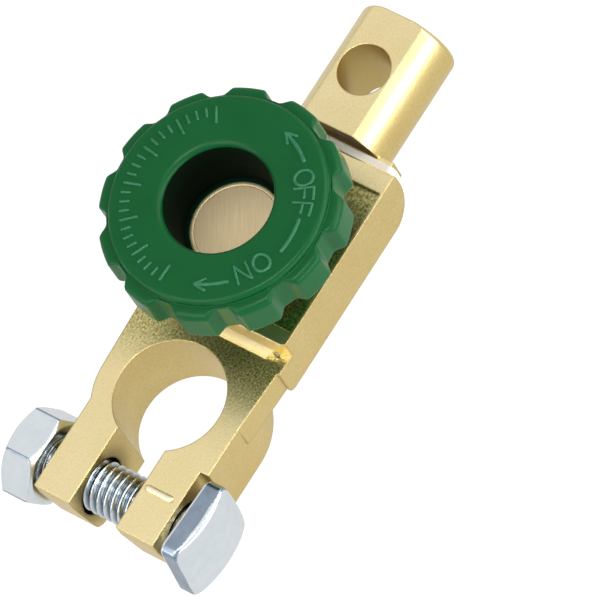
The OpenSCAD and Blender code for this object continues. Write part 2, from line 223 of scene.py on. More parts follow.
mix = node(tree, "ShaderNodeMixShader", i0=paths.outputs["Is Glossy Ray"], i1=principled.outputs[0],
           i2=mirrored.outputs[0])
seen = node(tree, "ShaderNodeMixShader", i0=paths.outputs["Is Camera Ray"], i1=mix.outputs[0],
            i2=shown.outputs[0])
tree.links.new(seen.outputs[0], tree.nodes["Material Output"].inputs[0])
floor.data.materials.append(floor_paper)

# %% [markdown]
# ## Cast brass
#
# The clamp and the cable post are gravity castings in yellow brass. After casting they are tumbled with small
# stones, which rounds the edges and leaves a pale satin skin with a fine pebbly grain. A metal shader with a
# noise bump of 0.3 mm gives that skin, and a slow noise over 9 mm lets the tone drift as it does on castings.
# The sides are painted darker and yellower as painted shade, and the upper faces stay pale.
# The sunken floor under the knob and the corner between ring and housing are painted dark with a sandy grain as
# their shade, and the slope above that corner is painted near white as its highlight. The narrow face of the bar
# behind the tray is painted dark as its shade. The inside of the cable hole is painted a darker yellow as shade,
# the bolt holes are painted near black as shade, and a softer painted shade spreads over the faces round them.
# Edges are worn smooth, which turns the light there, and a thin dark line is painted along each of them as their
# dark reflection.

# %% Cast brass material
BOLT_AXIS = (-15.0, 0, 6.8)
CABLE_HOLE = (54.6, 0, 0)
BAR_X = 44.8
BRASS_GRAIN = 0.33
EDGE_WEAR = 0.34
SAND_GRAIN = 0.32
RECESS_Z = span("clamp_body")[1][2] - 0.7
RING_Z = 12.5
SLOPE_TOP_X = 12.2
BRASS_PATCH = 9.0
brass, tree, principled = new_material("cast_brass", Metallic=1.0)
place = node(tree, "ShaderNodeTexCoord").outputs["Object"]
grain = node(tree, "ShaderNodeTexNoise", Vector=place, Scale=1 / (BRASS_GRAIN * MM), Detail=3.0, Roughness=0.6)
patch = node(tree, "ShaderNodeTexNoise", Vector=place, Scale=1 / (BRASS_PATCH * MM), Detail=2.0)
tone = node(tree, "ShaderNodeMix", {"data_type": "RGBA"}, i0=patch.outputs["Fac"], i6=linear("#e2cf97"),
            i7=linear("#efe1b4"))
speck = node(tree, "ShaderNodeMapRange", Value=grain.outputs["Fac"], From_Min=0.25, From_Max=0.6, To_Min=0.35,
             To_Max=0.0)
tone = node(tree, "ShaderNodeMix", {"data_type": "RGBA"}, i0=speck.outputs[0], i6=tone.outputs[2],
            i7=linear("#c2a765"))
parts = node(tree, "ShaderNodeSeparateXYZ", Vector=place).outputs
facing = node(tree, "ShaderNodeSeparateXYZ", Vector=node(tree, "ShaderNodeNewGeometry").outputs["True Normal"])
level = node(tree, "ShaderNodeMath", {"operation": "GREATER_THAN"}, i0=facing.outputs["Z"], i1=0.95)
at_floor = node(tree, "ShaderNodeMath", {"operation": "COMPARE"}, i0=parts["Z"], i1=RECESS_Z * MM, i2=0.12 * MM)
at_ring = node(tree, "ShaderNodeMath", {"operation": "COMPARE"}, i0=parts["Z"], i1=RING_Z * MM, i2=0.12 * MM)
to_housing = node(tree, "ShaderNodeMapRange", {"interpolation_type": "SMOOTHSTEP"}, Value=parts["X"],
                  From_Min=-1 * MM, From_Max=9 * MM)
on_slope = node(tree, "ShaderNodeMath", {"operation": "LESS_THAN"}, i0=parts["X"], i1=SLOPE_TOP_X * MM)
at_ring = node(tree, "ShaderNodeMath", {"operation": "MULTIPLY"}, i0=at_ring.outputs[0], i1=to_housing.outputs[0])
at_ring = node(tree, "ShaderNodeMath", {"operation": "MULTIPLY"}, i0=at_ring.outputs[0], i1=on_slope.outputs[0])
# Painted shade: the sunken floor under the knob and the ring's top by the housing get a dark sandy grain.
painted_hollow_shade = node(tree, "ShaderNodeMath", {"operation": "MAXIMUM"}, i0=at_floor.outputs[0], i1=at_ring.outputs[0])
painted_hollow_shade = node(tree, "ShaderNodeMath", {"operation": "MULTIPLY"}, i0=painted_hollow_shade.outputs[0], i1=level.outputs[0])
sand = node(tree, "ShaderNodeTexNoise", Vector=place, Scale=1 / (SAND_GRAIN * MM), Detail=1.0)
sharp_sand = node(tree, "ShaderNodeMapRange", Value=sand.outputs["Fac"], From_Min=0.3, From_Max=0.7)
skin = node(tree, "ShaderNodeMix", {"data_type": "RGBA"}, i0=sharp_sand.outputs[0], i6=linear("#877a38"),
            i7=linear("#dcd196"))
tone = node(tree, "ShaderNodeMix", {"data_type": "RGBA"}, i0=painted_hollow_shade.outputs[0], i6=tone.outputs[2],
            i7=skin.outputs[2])
# Painted highlight: the slope above the ring's corner is painted near white.
above_ring = node(tree, "ShaderNodeMapRange", Value=parts["Z"], From_Min=(RING_Z + 0.1) * MM,
                  From_Max=(RING_Z + 0.5) * MM)
painted_slope_highlight = node(tree, "ShaderNodeMath", {"operation": "MULTIPLY"}, i0=above_ring.outputs[0], i1=on_slope.outputs[0])
tone = node(tree, "ShaderNodeMix", {"data_type": "RGBA"}, i0=painted_slope_highlight.outputs[0], i6=tone.outputs[2],
            i7=linear("#fdf6e4"))
from_bolt = node(tree, "ShaderNodeVectorMath", {"operation": "MULTIPLY_ADD"}, i0=place, i1=(1, 0, 1),
                 i2=tuple(-np.array(BOLT_AXIS) * MM))
from_bolt = node(tree, "ShaderNodeVectorMath", {"operation": "LENGTH"}, i0=from_bolt.outputs[0])
# Painted shade: faces that turn to the side are multiplied by a darker, yellower tone.
painted_side_shade = node(tree, "ShaderNodeMapRange", {"interpolation_type": "SMOOTHSTEP"}, Value=facing.outputs["Z"],
             From_Min=0.25, From_Max=0.75, To_Min=1.0, To_Max=0.0)
tone = node(tree, "ShaderNodeMix", {"data_type": "RGBA", "blend_type": "MULTIPLY"}, i0=painted_side_shade.outputs[0],
            i6=tone.outputs[2], i7=linear("#f3ebcf"))
# Painted shade: the inside of the cable hole is painted a darker yellow.
from_cable_hole = node(tree, "ShaderNodeVectorMath", {"operation": "MULTIPLY_ADD"}, i0=place, i1=(1, 1, 0),
                       i2=tuple(-np.array(CABLE_HOLE) * MM))
from_cable_hole = node(tree, "ShaderNodeVectorMath", {"operation": "LENGTH"}, i0=from_cable_hole.outputs[0])
painted_bore_shade = node(tree, "ShaderNodeMapRange", Value=from_cable_hole.outputs["Value"], From_Min=4.08 * MM,
               From_Max=4.2 * MM, To_Min=0.9, To_Max=0.0)
tone = node(tree, "ShaderNodeMix", {"data_type": "RGBA"}, i0=painted_bore_shade.outputs[0], i6=tone.outputs[2],
            i7=linear("#c3ab6a"))
# Painted shade: the narrow face of the bar behind the tray is painted dark.
at_heel = node(tree, "ShaderNodeMath", {"operation": "COMPARE"}, i0=parts["X"], i1=BAR_X * MM, i2=0.2 * MM)
away = node(tree, "ShaderNodeMath", {"operation": "LESS_THAN"}, i0=facing.outputs["X"], i1=-0.9)
painted_heel_shade = node(tree, "ShaderNodeMath", {"operation": "MULTIPLY"}, i0=at_heel.outputs[0], i1=away.outputs[0])
tone = node(tree, "ShaderNodeMix", {"data_type": "RGBA"}, i0=painted_heel_shade.outputs[0], i6=tone.outputs[2],
            i7=linear("#7a5c2c"))
# Painted shade: the bolt holes in the ears are painted near black.
painted_hole_shade = node(tree, "ShaderNodeMapRange", Value=from_bolt.outputs["Value"], From_Min=4.45 * MM, From_Max=4.9 * MM,
           To_Min=0.95, To_Max=0.0)
tone = node(tree, "ShaderNodeMix", {"data_type": "RGBA"}, i0=painted_hole_shade.outputs[0], i6=tone.outputs[2],
            i7=linear("#2b2615"))
# Painted shade: faces across the bolt darken towards its holes, where head and nut stand close.
across = node(tree, "ShaderNodeMath", {"operation": "ABSOLUTE"}, i0=facing.outputs["Y"])
across = node(tree, "ShaderNodeMath", {"operation": "GREATER_THAN"}, i0=across.outputs[0], i1=0.8)
painted_gap_shade = node(tree, "ShaderNodeMapRange", {"interpolation_type": "SMOOTHSTEP"},
             Value=from_bolt.outputs["Value"], From_Min=4.5 * MM, From_Max=7.5 * MM, To_Min=0.6, To_Max=0.0)
painted_gap_shade = node(tree, "ShaderNodeMath", {"operation": "MULTIPLY"}, i0=painted_gap_shade.outputs[0], i1=across.outputs[0])
tone = node(tree, "ShaderNodeMix", {"data_type": "RGBA"}, i0=painted_gap_shade.outputs[0], i6=tone.outputs[2],
            i7=linear("#6b5a26"))
# Painted dark reflection: a thin dark line along each edge; worn is the rounded normal there.
edge, worn = edge_mask(tree, EDGE_WEAR, 0.6)
tone = node(tree, "ShaderNodeMix", {"data_type": "RGBA"}, i0=edge, i6=tone.outputs[2], i7=linear("#a08c4c"))
satin = node(tree, "ShaderNodeMapRange", Value=grain.outputs["Fac"], To_Min=0.42, To_Max=0.26)
pebble = node(tree, "ShaderNodeBump", Height=grain.outputs["Fac"], Strength=0.5, Distance=0.06 * MM,
              Normal=worn)
tree.links.new(tone.outputs[2], principled.inputs["Base Color"])
tree.links.new(satin.outputs[0], principled.inputs["Roughness"])
tree.links.new(pebble.outputs[0], principled.inputs["Normal"])

# %% [markdown]
# ## Turned brass
#
# The contact stud is turned from bar, and its head is finished on a belt, which leaves straight fine lines. A
# noise that is stretched forty times along the belt's direction draws those lines. Real ones are 0.05 mm
# apart, too fine for this picture, so they are drawn 0.15 mm apart.

# %% Turned brass material
BELT_LINE = 0.15
BELT_ANGLE = 34
turned_brass, tree, principled = new_material("turned_brass", Metallic=1.0)
place = node(tree, "ShaderNodeTexCoord").outputs["Object"]
along_belt = node(tree, "ShaderNodeMapping", {"vector_type": "TEXTURE"}, Vector=place,
                  Rotation=(0, 0, np.radians(BELT_ANGLE)), Scale=(40, 1, 1))
lines = node(tree, "ShaderNodeTexNoise", Vector=along_belt.outputs[0], Scale=1 / (BELT_LINE * MM), Detail=3.0)
tone = node(tree, "ShaderNodeMix", {"data_type": "RGBA"}, i0=lines.outputs["Fac"], i6=linear("#b99f72"),
            i7=linear("#e6d3ae"))
satin = node(tree, "ShaderNodeMapRange", Value=lines.outputs["Fac"], To_Min=0.45, To_Max=0.3)
scratch = node(tree, "ShaderNodeBump", Height=lines.outputs["Fac"], Strength=0.3, Distance=0.02 * MM)
tree.links.new(tone.outputs[2], principled.inputs["Base Color"])
tree.links.new(satin.outputs[0], principled.inputs["Roughness"])
tree.links.new(scratch.outputs[0], principled.inputs["Normal"])

belt_face, tree, principled = new_material("belt_finished_brass", Metallic=0.55)
place = node(tree, "ShaderNodeTexCoord").outputs["Object"]
along_belt = node(tree, "ShaderNodeMapping", {"vector_type": "TEXTURE"}, Vector=place,
                  Rotation=(0, 0, np.radians(BELT_ANGLE)), Scale=(40, 1, 1))
lines = node(tree, "ShaderNodeTexNoise", Vector=along_belt.outputs[0], Scale=1 / (BELT_LINE * MM), Detail=3.0)
tone = node(tree, "ShaderNodeMix", {"data_type": "RGBA"}, i0=lines.outputs["Fac"], i6=linear("#c4aa7c"),
            i7=linear("#eadab2"))
scratch = node(tree, "ShaderNodeBump", Height=lines.outputs["Fac"], Strength=0.3, Distance=0.02 * MM)
principled.inputs["Roughness"].default_value = 0.48
tree.links.new(tone.outputs[2], principled.inputs["Base Color"])
tree.links.new(scratch.outputs[0], principled.inputs["Normal"])

# %% [markdown]
# ## Green moulded plastic
#
# The knob is injection moulded in deep green ABS. Its outside is polished in the mould and shows soft wide
# highlights with a little unevenness. The wall of the well is painted near black and dull as painted shade.
# The raised signs are painted a lighter green as their highlight, and are shinier than the face under them.

# %% Green plastic materials
MOULD_SKIN = 0.8
green, tree, principled = new_material("green_plastic", IOR=1.53, Specular_IOR_Level=0.15)
place = node(tree, "ShaderNodeTexCoord").outputs["Object"]
skin = node(tree, "ShaderNodeTexNoise", Vector=place, Scale=1 / (MOULD_SKIN * MM), Detail=2.0)
cloud = node(tree, "ShaderNodeTexNoise", Vector=place, Scale=1 / (7 * MM), Detail=2.0)
tone = node(tree, "ShaderNodeMix", {"data_type": "RGBA"}, i0=cloud.outputs["Fac"], i6=linear("#054d22"),
            i7=linear("#0a572a"))
gloss = node(tree, "ShaderNodeMapRange", Value=skin.outputs["Fac"], To_Min=0.24, To_Max=0.36)
ripple = node(tree, "ShaderNodeBump", Height=skin.outputs["Fac"], Strength=0.2, Distance=0.02 * MM)
tree.links.new(tone.outputs[2], principled.inputs["Base Color"])
tree.links.new(gloss.outputs[0], principled.inputs["Roughness"])
tree.links.new(ripple.outputs[0], principled.inputs["Normal"])

# Painted highlight: the raised signs get a lighter green than the face.
sign_highlight_green, tree, principled = new_material("green_plastic_sign_highlight", IOR=1.53, Specular_IOR_Level=0.3)
place = node(tree, "ShaderNodeTexCoord").outputs["Object"]
sign_mottle = node(tree, "ShaderNodeTexNoise", Vector=place, Scale=1 / (0.9 * MM), Detail=3.0)
tone = node(tree, "ShaderNodeMix", {"data_type": "RGBA"}, i0=sign_mottle.outputs["Fac"], i6=linear("#08542c"),
            i7=linear("#34805a"))
gloss = node(tree, "ShaderNodeMapRange", Value=sign_mottle.outputs["Fac"], To_Min=0.22, To_Max=0.36)
tree.links.new(tone.outputs[2], principled.inputs["Base Color"])
tree.links.new(gloss.outputs[0], principled.inputs["Roughness"])

# Painted shade: the wall of the knob's well is near black and dull.
well_shade_green, tree, principled = new_material("green_plastic_well_shade", IOR=1.45, Specular_IOR_Level=0.06)
place = node(tree, "ShaderNodeTexCoord").outputs["Object"]
skin = node(tree, "ShaderNodeTexNoise", Vector=place, Scale=1 / (0.4 * MM), Detail=3.0)
tone = node(tree, "ShaderNodeMix", {"data_type": "RGBA"}, i0=skin.outputs["Fac"], i6=linear("#010d06"),
            i7=linear("#03170b"))
dull = node(tree, "ShaderNodeMapRange", Value=skin.outputs["Fac"], To_Min=0.6, To_Max=0.8)
tree.links.new(tone.outputs[2], principled.inputs["Base Color"])
tree.links.new(dull.outputs[0], principled.inputs["Roughness"])

# %% [markdown]
# ## Zinc-plated steel
#
# Bolt and nut are forged from steel and plated with bright zinc in a barrel. The plate is cool and light, and
# the barrel leaves shallow dents and a slightly uneven shine. The sides of the bolt's head and the nut's corners
# are painted a darker bluish grey as painted reflection, the thread's roots are painted dark as their shade, and
# a thin dark line is painted along each edge.

# %% Zinc plate material
BARREL_DENT = 1.4
zinc, tree, principled = new_material("zinc_plated_steel", Metallic=1.0)
place = node(tree, "ShaderNodeTexCoord").outputs["Object"]
dents = node(tree, "ShaderNodeTexNoise", Vector=place, Scale=1 / (BARREL_DENT * MM), Detail=2.0)
haze = node(tree, "ShaderNodeTexNoise", Vector=place, Scale=1 / (0.25 * MM), Detail=3.0)
tone = node(tree, "ShaderNodeMix", {"data_type": "RGBA"}, i0=dents.outputs["Fac"], i6=linear("#d6dee4"),
            i7=linear("#e6ecef"))
from_axis = node(tree, "ShaderNodeVectorMath", {"operation": "MULTIPLY_ADD"}, i0=place, i1=(1, 0, 1),
                 i2=tuple(-np.array(BOLT_AXIS) * MM))
from_axis = node(tree, "ShaderNodeVectorMath", {"operation": "LENGTH"}, i0=from_axis.outputs[0])
# Painted shade: the thread's roots are painted dark.
painted_root_shade = node(tree, "ShaderNodeMapRange", Value=from_axis.outputs["Value"], From_Min=3.5 * MM, From_Max=3.95 * MM,
            To_Min=0.9, To_Max=0.0)
along = node(tree, "ShaderNodeSeparateXYZ", Vector=place).outputs["Y"]
on_shank = node(tree, "ShaderNodeMath", {"operation": "COMPARE"}, i0=along, i1=2.4 * MM, i2=14.6 * MM)
painted_root_shade = node(tree, "ShaderNodeMath", {"operation": "MULTIPLY"}, i0=painted_root_shade.outputs[0], i1=on_shank.outputs[0])
tone = node(tree, "ShaderNodeMix", {"data_type": "RGBA"}, i0=painted_root_shade.outputs[0], i6=tone.outputs[2],
            i7=linear("#566672"))
# Painted dark reflection: a thin dark line along each edge of bolt and nut.
edge, worn = edge_mask(tree, 0.2, 0.75)
tone = node(tree, "ShaderNodeMix", {"data_type": "RGBA"}, i0=edge, i6=tone.outputs[2], i7=linear("#59636b"))
shine = node(tree, "ShaderNodeMapRange", Value=haze.outputs["Fac"], To_Min=0.14, To_Max=0.3)
wave = node(tree, "ShaderNodeBump", Height=dents.outputs["Fac"], Strength=0.12, Distance=0.05 * MM)
tree.links.new(tone.outputs[2], principled.inputs["Base Color"])
tree.links.new(shine.outputs[0], principled.inputs["Roughness"])
tree.links.new(wave.outputs[0], principled.inputs["Normal"])

# Painted reflection: darker bluish zinc for the sides of the bolt's head and the nut's corners.
dark_reflection_zinc, tree, principled = new_material("zinc_plated_painted_reflection", Metallic=1.0)
place = node(tree, "ShaderNodeTexCoord").outputs["Object"]
side_mottle = node(tree, "ShaderNodeTexNoise", Vector=place, Scale=1 / (2.5 * MM), Detail=2.0)
haze = node(tree, "ShaderNodeTexNoise", Vector=place, Scale=1 / (0.25 * MM), Detail=3.0)
tone = node(tree, "ShaderNodeMix", {"data_type": "RGBA"}, i0=side_mottle.outputs["Fac"], i6=linear("#6f7d98"),
            i7=linear("#a6b4bd"))
shine = node(tree, "ShaderNodeMapRange", Value=haze.outputs["Fac"], To_Min=0.2, To_Max=0.34)
wave = node(tree, "ShaderNodeBump", Height=side_mottle.outputs["Fac"], Strength=0.15, Distance=0.05 * MM)
tree.links.new(tone.outputs[2], principled.inputs["Base Color"])
tree.links.new(shine.outputs[0], principled.inputs["Roughness"])
tree.links.new(wave.outputs[0], principled.inputs["Normal"])

# %% [markdown]
# ## White nylon
#
# The insulating tray is moulded in natural nylon, a soft milky white with a dull skin.

# %% Nylon material
nylon, tree, principled = new_material("white_nylon", IOR=1.53)
principled.inputs["Subsurface Weight"].default_value = 0.15
principled.inputs["Subsurface Scale"].default_value = 0.6 * MM
place = node(tree, "ShaderNodeTexCoord").outputs["Object"]
skin = node(tree, "ShaderNodeTexNoise", Vector=place, Scale=1 / (0.5 * MM), Detail=3.0)
tone = node(tree, "ShaderNodeMix", {"data_type": "RGBA"}, i0=skin.outputs["Fac"], i6=linear("#dcd8d0"),
            i7=linear("#e8e5de"))
dull = node(tree, "ShaderNodeMapRange", Value=skin.outputs["Fac"], To_Min=0.42, To_Max=0.58)
skin_bump = node(tree, "ShaderNodeBump", Height=skin.outputs["Fac"], Strength=0.2, Distance=0.02 * MM)
tree.links.new(tone.outputs[2], principled.inputs["Base Color"])
tree.links.new(dull.outputs[0], principled.inputs["Roughness"])
tree.links.new(skin_bump.outputs[0], principled.inputs["Normal"])

# %% [markdown]
# ## Making surfaces from grids
#
# Most of the new pieces are a section carried round an axis or along a path. The section is a line of points
# with rounded corners, the grid holds one copy of it for each step round, and one function joins the grid
# into quads. Doing this with arrays keeps each shape a formula that can be read and changed.


# %% Section and surface helpers
def rounded(corners, steps=5, guard=0.08):
    """Line through corners (a, b, radius). A corner with a radius becomes an arc that touches both sides,
    radius / tan(half the angle) from the corner. A guard point beyond each end of an arc keeps the flats
    beside it flat when the shading is smoothed."""
    line = [np.array([corners[0][:2]], float)]
    for before, here, after in zip(corners[:-2], corners[1:-1], corners[2:]):
        corner, radius = np.array(here[:2], float), here[2]
        if radius == 0:
            line.append(corner[None])
            continue
        u, v = np.array(before[:2]) - corner, np.array(after[:2]) - corner
        u, v = u / np.linalg.norm(u), v / np.linalg.norm(v)
        half = np.arccos(np.clip(u @ v, -1, 1)) / 2
        centre = corner + (u + v) / np.linalg.norm(u + v) * radius / np.sin(half)
        first = corner + u * radius / np.tan(half) - centre
        last = corner + v * radius / np.tan(half) - centre
        sign = np.sign(first[0] * last[1] - first[1] * last[0])
        t = sign * np.linspace(0, np.pi - 2 * half, steps + 1)
        arc = centre + np.stack([first[0] * np.cos(t) - first[1] * np.sin(t),
                                 first[0] * np.sin(t) + first[1] * np.cos(t)], 1)
        line += [arc[:1] + u * guard, arc, arc[-1:] + v * guard]
    line.append(np.array([corners[-1][:2]], float))
    return np.concatenate(line)


def surface(points, closed=(False, True), caps=(False, False)):
    """Quads over a grid of points, rows x columns x 3. closed joins the last row or column to the first, caps
    closes the first or last row with a fan. The sum of a . (b x c) over the triangles is six times the
    volume, and where it is negative all faces are turned round, so that they point outwards."""
    rows, columns = points.shape[:2]
    index = np.arange(rows * columns).reshape(rows, columns)
    if closed[0]:
        index = np.concatenate([index, index[:1]])
    if closed[1]:
        index = np.concatenate([index, index[:, :1]], 1)
    quads = np.stack([index[:-1, :-1], index[:-1, 1:], index[1:, 1:], index[1:, :-1]], -1).reshape(-1, 4)
    vertices, fans = points.reshape(-1, 3), np.empty((0, 3), int)
    for wanted, row in ((caps[0], index[0][::-1]), (caps[1], index[-1])):
        if wanted:
            vertices = np.concatenate([vertices, vertices[row[:-1]].mean(0, keepdims=True)])
            pole = np.full(len(row) - 1, len(vertices) - 1)
            fans = np.concatenate([fans, np.stack([row[:-1], row[1:], pole], 1)])
    triangles = vertices[np.concatenate([quads[:, [0, 1, 2]], quads[:, [0, 2, 3]], fans])]
    if np.einsum("ij,ij->", triangles[:, 0], np.cross(triangles[:, 1], triangles[:, 2])) < 0:
        quads, fans = quads[:, ::-1], fans[:, ::-1]
    return vertices, quads, fans


def joined(name, *parts):
    """One mesh from several surfaces in millimetres."""
    vertices, faces, start = [], [], 0
    for points, quads, fans in parts:
        vertices.append(points)
        faces += (quads + start).tolist() + (fans + start).tolist()
        start += len(points)
    mesh = bpy.data.meshes.new(name)
    mesh.from_pydata((np.concatenate(vertices) * MM).tolist(), [], faces)
    mesh.shade_smooth()
    return mesh


def add_piece(name, mesh, materials, body, stands_for=None):
    """Puts a mesh into the scene as a finished piece that moves with a body."""
    made = bpy.data.objects.new(name, mesh)
    scene.collection.objects.link(made)
    for material in materials:
        mesh.materials.append(material)
    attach(made, body)
    if stands_for:
        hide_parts(stands_for)
    print(name, len(mesh.polygons), "faces")
    return made


def regular_outline(turn, sides, flats, corner):
    """Distance from the axis to a regular polygon with rounded corners, for angles turn about the middle of
    a flat: half the flats / cos(angle) along a flat, and the far side of a circle near a corner."""
    half_side = np.pi / sides
    to_flat = (turn + half_side) % (2 * half_side) - half_side
    inner = flats / 2 - corner
    to_corner = half_side - np.abs(to_flat)
    hub = inner / np.cos(half_side)
    arc = hub * np.cos(to_corner) + np.sqrt(np.maximum(corner ** 2 - (hub * np.sin(to_corner)) ** 2, 0))
    touch = np.arctan2(inner * np.tan(half_side), flats / 2)
    return np.where(np.abs(to_flat) < touch, flats / 2 / np.cos(to_flat), arc)


def turns(count, sides=1, crowd=0.0):
    """Angles once round, closer together at the corners of a polygon when crowd is above 0."""
    even = np.linspace(0, 2 * np.pi, count, endpoint=False)
    return even + crowd / sides * np.sin(sides * even)


def thread_depth(along, turn, pitch, depth):
    """How far a thread lies below its crest: it repeats every pitch along the axis, and once round the axis
    shifts it by one pitch. A triangle wave with its tips cut gives flat crests and roots."""
    phase = (along / pitch + turn / (2 * np.pi)) % 1
    wave = 1 - np.abs(2 * phase - 1)
    return depth * np.clip((wave - 0.12) / 0.74, 0, 1)


# %% [markdown]
# ## Castings
#
# The CAD model holds the two castings with sharp edges. Tumbling has rounded the real ones, and each edge
# carries a thin line of light. A copy of the CAD mesh is merged, its coplanar triangles are joined, and a
# Bevel modifier rounds what is sharper than 28 degrees. Weighted normals keep the flats flat beside it.


# %% Softened copies
def softened(source, name, width, material, body, segments=3, sharp=28):
    """Copy of a CAD node with rounded edges, width in millimetres."""
    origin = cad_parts[source]
    mesh = origin.data.copy()
    mesh.name = name
    mesh.transform(origin.matrix_world)
    work = bmesh.new()
    work.from_mesh(mesh)
    bmesh.ops.remove_doubles(work, verts=work.verts, dist=0.002 * MM)
    bmesh.ops.dissolve_limit(work, angle_limit=np.radians(0.6), verts=work.verts, edges=work.edges)
    work.to_mesh(mesh)
    work.free()
    if "custom_normal" in mesh.attributes:
        mesh.attributes.remove(mesh.attributes["custom_normal"])
    mesh.materials.clear()
    mesh.shade_smooth()
    made = add_piece(name, mesh, [material], body, source)
    edge = made.modifiers.new("rounded_edges", "BEVEL")
    edge.width = width * MM
    edge.segments = segments
    edge.limit_method = "ANGLE"
    edge.angle_limit = np.radians(sharp)
    edge.use_clamp_overlap = True
    flat = made.modifiers.new("flat_faces", "WEIGHTED_NORMAL")
    flat.keep_sharp = True
    return made


softened("clamp_body", "clamp_casting", 0.16, brass, "housing")
softened("cable_post", "post_casting", 0.7, brass, "housing")
softened("insulator_tray", "tray_moulding", 0.2, nylon, "housing")
softened("contact_washer", "washer_ring", 0.15, turned_brass, "carrier", segments=2)

# %% [markdown]
# ## Knob
#
# The knob is one moulding: a lobed rim, a raised round face, a deep well over the brass head, and a hollow
# underside with a hub. Two sections are drawn, one through a lobe and one through a valley. Round the axis
# the section goes smoothly from one to the other twelve times, which gives soft S-shaped sides to the lobes.

# %% Knob
KNOB_AXIS = (span("contact_stud")[0] + span("contact_stud")[1])[0] / 2
knob_low, knob_high = span("knob")
FACE_Z = knob_high[2]
NECK_Z = knob_low[2]
LOBES = 12
LOBE_TURN = np.radians(20)
KNOB_STEPS = 480


def knob_section(rim, top_round):
    """Section of the knob, distance from the axis and height, once round from the foot of the hub: pocket,
    well, face, rim at distance rim, hollow, hub."""
    lobe_z, rim_z, roof_z = FACE_Z - 1.1, FACE_Z - 7.6, FACE_Z - 3
    head_z, head_top = FACE_Z - 11.1, FACE_Z - 9.5
    return rounded([(5.22, NECK_Z, 0), (5.22, head_z, 0), (7.02, head_z, 0), (7.02, head_top, 0),
                    (7.6, head_top, 0.2), (8.27, FACE_Z, 1.1), (16.3, FACE_Z, 0.8), (16.3, lobe_z, 0.15),
                    (rim, lobe_z, top_round), (rim, rim_z, 0.8), (15.5, rim_z, 0.2), (15.5, roof_z, 1.2),
                    (10.4, roof_z, 1.2), (10.4, NECK_Z, 0.3), (7, NECK_Z, 0)], steps=6)


turn = turns(KNOB_STEPS)
crest = knob_section(18.2, 1.1)
valley = knob_section(16.75, 0.22)
rise = (1 - np.cos(LOBES * (turn - LOBE_TURN))) / 2
reach = np.clip((rise - 0.45) / 0.5, 0, 1)
dip = reach ** 2 * (3 - 2 * reach)
section = crest[:, None] * (1 - dip[None, :, None]) + valley[:, None] * dip[None, :, None]
points = np.stack([KNOB_AXIS + section[..., 0] * np.cos(turn), section[..., 0] * np.sin(turn), section[..., 1]], -1)
mesh = joined("knob_moulding", surface(points, closed=(True, True)))
centres = np.empty(len(mesh.polygons) * 3)
mesh.polygons.foreach_get("center", centres)
centres = centres.reshape(-1, 3) / MM
from_axis = np.hypot(centres[:, 0] - KNOB_AXIS, centres[:, 1])
# The well's wall gets the painted shade material.
in_well = (from_axis < 8.6) & (centres[:, 2] > FACE_Z - 9.6) & (centres[:, 2] < FACE_Z - 0.7)
add_piece("knob_moulding", mesh, [green, well_shade_green], "switch", "knob")
mesh.polygons.foreach_set("material_index", in_well.astype(np.int32))

# %% [markdown]
# ## Signs on the knob
#
# The face carries raised strokes: an arrow and a word for each way of turning, a plain bar between them, and
# a scale of short ticks on the other half. Each stroke is half an ellipse carried along a path. Paths are
# written as angle and distance from the knob's axis, so that words bend round the face by themselves.

# %% Raised strokes
STROKE_HEIGHT = 0.28
STROKE_SINK = 0.08


def bead(path, width, height, base):
    """A raised stroke on a level face: half an ellipse across the path, with half-round ends made of rows
    that shrink as the square root of 1 - t squared."""
    path = np.asarray(path, float)
    ahead = np.gradient(path, axis=0)
    ahead /= np.linalg.norm(ahead, axis=1, keepdims=True)
    t = np.array([0.998, 0.85, 0.5])
    line = np.concatenate([path[:1] - ahead[:1] * t[:, None] * width / 2, path,
                           path[-1:] + ahead[-1:] * t[::-1, None] * width / 2])
    ahead = np.concatenate([ahead[:1].repeat(3, 0), ahead, ahead[-1:].repeat(3, 0)])
    size = np.concatenate([np.sqrt(1 - t ** 2), np.ones(len(path)), np.sqrt(1 - t[::-1] ** 2)])[:, None]
    a = np.linspace(0, np.pi, 7)
    across = np.concatenate([np.cos(a), [-1, 1]]) * width / 2
    up = np.concatenate([np.sin(a) * height, [-STROKE_SINK, -STROKE_SINK]])
    side = np.stack([-ahead[:, 1], ahead[:, 0]], 1)
    flat = line[:, None] + side[:, None] * (across * size)[..., None]
    return surface(np.concatenate([flat, np.broadcast_to(base + up * size, flat.shape[:2])[..., None]], -1),
                   caps=(True, True))


def on_face(angle, distance):
    """Points on the knob's face from angles in degrees and distances from its axis."""
    a = np.radians(angle)
    return np.stack([KNOB_AXIS + distance * np.cos(a), distance * np.sin(a)], 1)


def face_stroke(start, end, width=0.46, steps=8):
    """A stroke between two places (angle, distance) on the face."""
    t = np.linspace(0, 1, steps)
    angle, distance = start[0] + (end[0] - start[0]) * t, start[1] + (end[1] - start[1]) * t
    return bead(on_face(angle, distance), width, STROKE_HEIGHT, FACE_Z)


def letter(angle, strokes, ring=12.85):
    """Strokes of a letter in millimetres (right, up) about its middle. Its feet point to the axis, so right
    is clockwise."""
    bend = np.degrees(1 / ring)
    return [face_stroke((angle - a[0] * bend, ring + a[1]), (angle - b[0] * bend, ring + b[1]))
            for a, b in strokes]


def letter_o(angle, ring=12.85):
    """A letter O: an ellipse drawn as one closed stroke of overlapping ends."""
    a = np.linspace(0, 2 * np.pi, 40)
    return [bead(on_face(angle + 1.2 * np.cos(a) * np.degrees(1 / ring), ring + 1.38 * np.sin(a)), 0.5,
                 STROKE_HEIGHT, FACE_Z)]


def arrow(tail, tip, ring=13.4):
    """A bent shaft with two barbs at its tip, the way the angle goes."""
    way = np.sign(tip - tail)
    barbs = [face_stroke((tip, ring), (tip - way * 6.5, ring + side), 0.5) for side in (-0.85, 0.85)]
    return [face_stroke((tail, ring), (tip - way, ring), 0.62, 16)] + barbs


